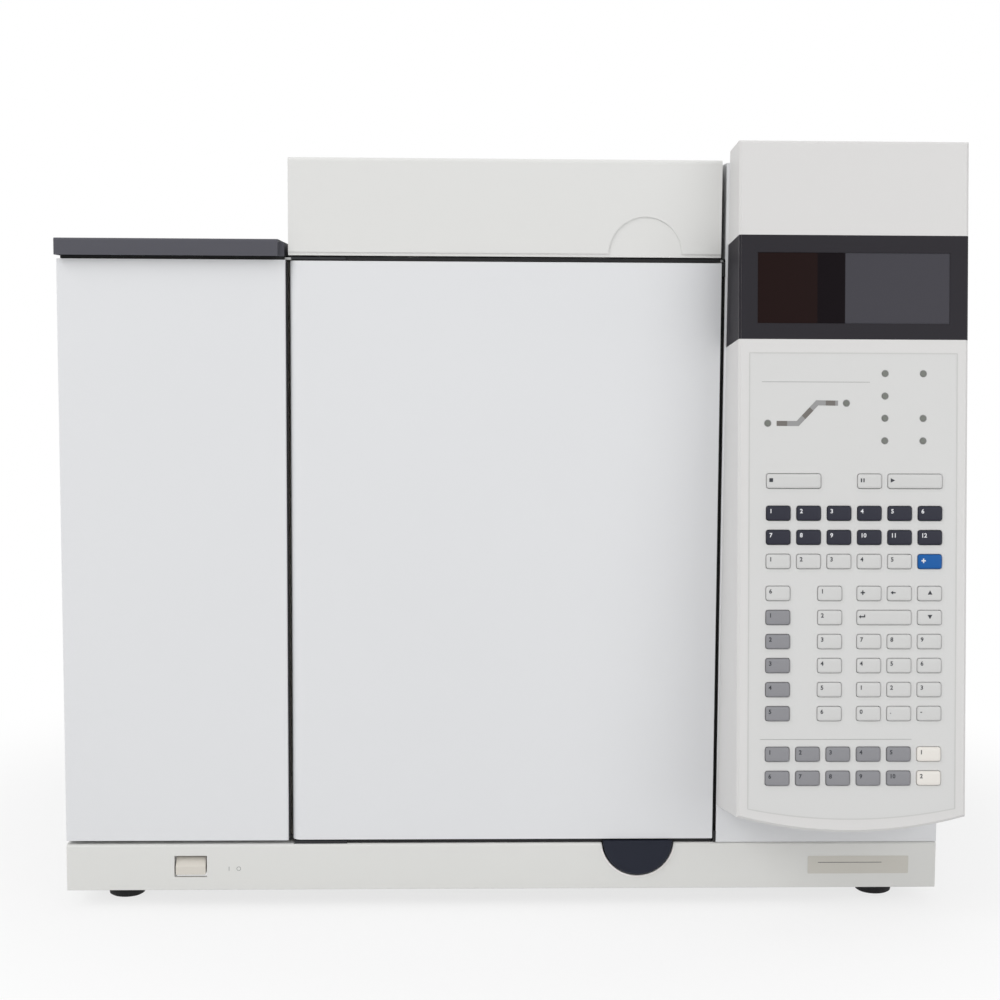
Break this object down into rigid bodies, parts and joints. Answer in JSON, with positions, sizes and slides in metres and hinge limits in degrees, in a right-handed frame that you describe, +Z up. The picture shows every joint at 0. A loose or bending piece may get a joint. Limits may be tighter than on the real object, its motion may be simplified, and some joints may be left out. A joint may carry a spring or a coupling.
{
  "type": "gas chromatograph",
  "caption": "Bench-top gas chromatograph with a hinged oven door, a lifting top cover, a dark side lid and a leaning keypad console with a display window.",
  "frame": {"origin": "middle of the footprint, on the bench", "axes": "+Z up, the front with the oven door faces -Y, the console is at +X"},
  "size_m": [0.58, 0.5399, 0.5035],
  "materials": {
    "painted_light": "satin, light cool grey",
    "painted_warm": "satin, light warm grey",
    "cover_grey": "satin, warm grey",
    "lid_dark": "satin, dark slate",
    "bezel_grey": "fine matt moulding",
    "band_dark": "satin, dark",
    "lens": "tinted window",
    "overlay": "matt film",
    "key_dark": "matt",
    "key_grey": "matt",
    "key_light": "matt",
    "key_blue": "matt",
    "lamp": "diffuse lens",
    "rubber": "matt",
    "black_plastic": "matt",
    "zinc_steel": "zinc plated",
    "stainless": "brushed stainless",
    "aluminium": "machined",
    "brass": "machined",
    "fibre": "ceramic fibre board",
    "column": "amber coated fused silica",
    "board": "circuit board",
    "heater": "oxidised heater wire"
  },
  "bodies": {
    "chassis": {"base_pan": "painted_warm", "rubber_feet": "rubber", "latch_bracket": "zinc_steel", "oven_liner": "stainless", "oven_insulation": "fibre", "fan_shroud": "stainless", "oven_motor": "aluminium", "heater_coil": "heater", "capillary_column": "column", "column_hanger": "stainless", "door_hinges": "zinc_steel", "left_front_panel": "painted_light", "left_side_panel": "painted_light", "top_deck": "zinc_steel", "epc_modules": "aluminium", "inlets": "stainless", "inlet_septum_nuts": "brass", "detectors": "stainless", "detector_collectors": "stainless", "cover_hinges": "zinc_steel", "rear_top_cover": "cover_grey", "electronics_cover": "painted_light", "console_front_plate": "painted_light", "console_partition": "zinc_steel", "console_bezel": "bezel_grey", "display_band": "band_dark", "display_lens": "lens", "front_board": "board", "keypad_overlay": "overlay", "status_lamps": "lamp", "power_supply": "zinc_steel", "main_board": "board", "fan_frame": "black_plastic", "power_inlet": "black_plastic", "gas_fittings": "brass", "vent_ducts": "zinc_steel", "rear_panel": "zinc_steel", "panel_screws": "zinc_steel"},
    "oven_door": {"oven_door_shell": "painted_light", "oven_door_core": "fibre", "oven_door_seal": "rubber"},
    "release_paddle": {"release_paddle": "lid_dark", "latch_catch": "black_plastic"},
    "top_cover": {"top_cover": "cover_grey"},
    "left_lid": {"left_lid": "lid_dark"},
    "power_rocker": {"power_rocker": "key_light"},
    "oven_fan": {"oven_fan": "stainless"},
    "exhaust_flap": {"exhaust_flap": "zinc_steel"},
    "intake_flap": {"intake_flap": "zinc_steel"},
    "cooling_fan": {"cooling_fan": "black_plastic"},
    "run_keys": {"run_keys": "key_light"},
    "component_keys": {"component_keys": "key_dark"},
    "table_keys": {"table_keys": "key_light"},
    "service_key": {"service_key": "key_blue"},
    "function_keys": {"function_keys": "key_grey"},
    "mode_keys": {"mode_keys": "key_light"},
    "edit_keys": {"edit_keys": "key_light"},
    "digit_keys": {"digit_keys": "key_light"},
    "method_keys": {"method_keys": "key_grey"},
    "user_keys": {"user_keys": "key_light"}
  },
  "joints": [
    {"name": "oven_door_hinge", "type": "hinge", "parent": "chassis", "child": "oven_door", "pos_m": [-0.1347, -0.197, 0.23675], "axis": [0, 0, -1], "range_deg": [0, 105]},
    {"name": "paddle_press", "type": "hinge", "parent": "chassis", "child": "release_paddle", "pos_m": [0.089, -0.196, 0.036], "axis": [1, 0, 0], "range_deg": [0, 6.5], "stiffness_Nm_per_rad": 0.4},
    {"name": "top_cover_hinge", "type": "hinge", "parent": "chassis", "child": "top_cover", "pos_m": [0, 0.058, 0.488], "axis": [-1, 0, 0], "range_deg": [0, 95]},
    {"name": "left_lid_hinge", "type": "hinge", "parent": "chassis", "child": "left_lid", "pos_m": [-0.21885, 0.058, 0.4356], "axis": [-1, 0, 0], "range_deg": [0, 95]},
    {"name": "power_rocker_tilt", "type": "hinge", "parent": "chassis", "child": "power_rocker", "pos_m": [-0.2083, -0.197, 0.028], "axis": [1, 0, 0], "range_deg": [0, 9.5]},
    {"name": "oven_fan_spin", "type": "hinge", "parent": "chassis", "child": "oven_fan", "pos_m": [-0.0009, 0, 0.23675], "axis": [0, 1, 0], "continuous": true},
    {"name": "exhaust_flap_swing", "type": "hinge", "parent": "chassis", "child": "exhaust_flap", "pos_m": [-0.0009, 0.224, 0.36735], "axis": [1, 0, 0], "range_deg": [0, 70]},
    {"name": "intake_flap_swing", "type": "hinge", "parent": "chassis", "child": "intake_flap", "pos_m": [-0.0009, 0.224, 0.14135], "axis": [1, 0, 0], "range_deg": [0, 70]},
    {"name": "cooling_fan_spin", "type": "hinge", "parent": "chassis", "child": "cooling_fan", "pos_m": [0.238, 0.235, 0.34], "axis": [0, 1, 0], "continuous": true},
    {"name": "run_keys_press", "type": "slide", "parent": "chassis", "child": "run_keys", "axis": [0, 0.9964, -0.0845], "range_m": [0, 0.0008], "stiffness_N_per_m": 600},
    {"name": "component_keys_press", "type": "slide", "parent": "chassis", "child": "component_keys", "axis": [0, 0.9964, -0.0845], "range_m": [0, 0.0008], "stiffness_N_per_m": 600},
    {"name": "table_keys_press", "type": "slide", "parent": "chassis", "child": "table_keys", "axis": [0, 0.9964, -0.0845], "range_m": [0, 0.0008], "stiffness_N_per_m": 600},
    {"name": "service_key_press", "type": "slide", "parent": "chassis", "child": "service_key", "axis": [0, 0.9964, -0.0845], "range_m": [0, 0.0008], "stiffness_N_per_m": 600},
    {"name": "function_keys_press", "type": "slide", "parent": "chassis", "child": "function_keys", "axis": [0, 0.9964, -0.0845], "range_m": [0, 0.0008], "stiffness_N_per_m": 600},
    {"name": "mode_keys_press", "type": "slide", "parent": "chassis", "child": "mode_keys", "axis": [0, 0.9964, -0.0845], "range_m": [0, 0.0008], "stiffness_N_per_m": 600},
    {"name": "edit_keys_press", "type": "slide", "parent": "chassis", "child": "edit_keys", "axis": [0, 0.9964, -0.0845], "range_m": [0, 0.0008], "stiffness_N_per_m": 600},
    {"name": "digit_keys_press", "type": "slide", "parent": "chassis", "child": "digit_keys", "axis": [0, 0.9964, -0.0845], "range_m": [0, 0.0008], "stiffness_N_per_m": 600},
    {"name": "method_keys_press", "type": "slide", "parent": "chassis", "child": "method_keys", "axis": [0, 0.9964, -0.0845], "range_m": [0, 0.0008], "stiffness_N_per_m": 600},
    {"name": "user_keys_press", "type": "slide", "parent": "chassis", "child": "user_keys", "axis": [0, 0.9964, -0.0845], "range_m": [0, 0.0008], "stiffness_N_per_m": 600}
  ],
  "couplings": [
    {"joint": "intake_flap_swing", "follows": "exhaust_flap_swing", "ratio": 1}
  ]
}
